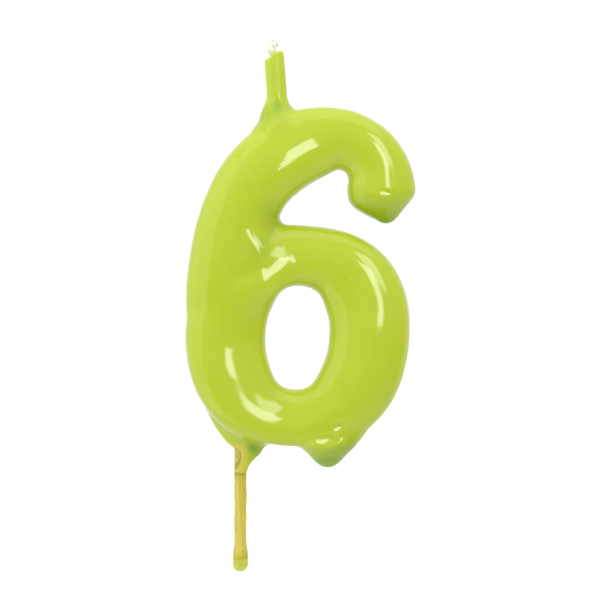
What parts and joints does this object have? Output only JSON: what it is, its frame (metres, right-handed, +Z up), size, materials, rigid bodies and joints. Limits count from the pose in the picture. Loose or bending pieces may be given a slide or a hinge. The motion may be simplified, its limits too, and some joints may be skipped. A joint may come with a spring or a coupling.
{
  "type": "number candle",
  "caption": "Solid wax candle shaped as the digit six, dipped in gloss lacquer that set in drips, with a plaited cotton wick on top and a round wooden pick below.",
  "frame": {"origin": "on the pick's axis, at the top of its straight length, where the lacquer's meniscus under the digit ends and the cake's surface comes", "axes": "+Z up along the pick and the digit's height, +X to the digit's right as it is read, +Y from the digit's front to its back"},
  "size_m": [0.0434, 0.0124, 0.1005],
  "materials": {
    "wax": "satin",
    "lacquer": "gloss",
    "cotton": "matte",
    "birch": "matte"
  },
  "bodies": {
    "root": {"wax_core": "wax", "body_coat": "lacquer", "wick_sleeve": "lacquer", "wick_strand_1": "cotton", "wick_strand_2": "cotton", "wick_strand_3": "cotton", "pick": "birch", "pick_film": "lacquer", "end_bead": "lacquer"}
  },
  "joints": []
}
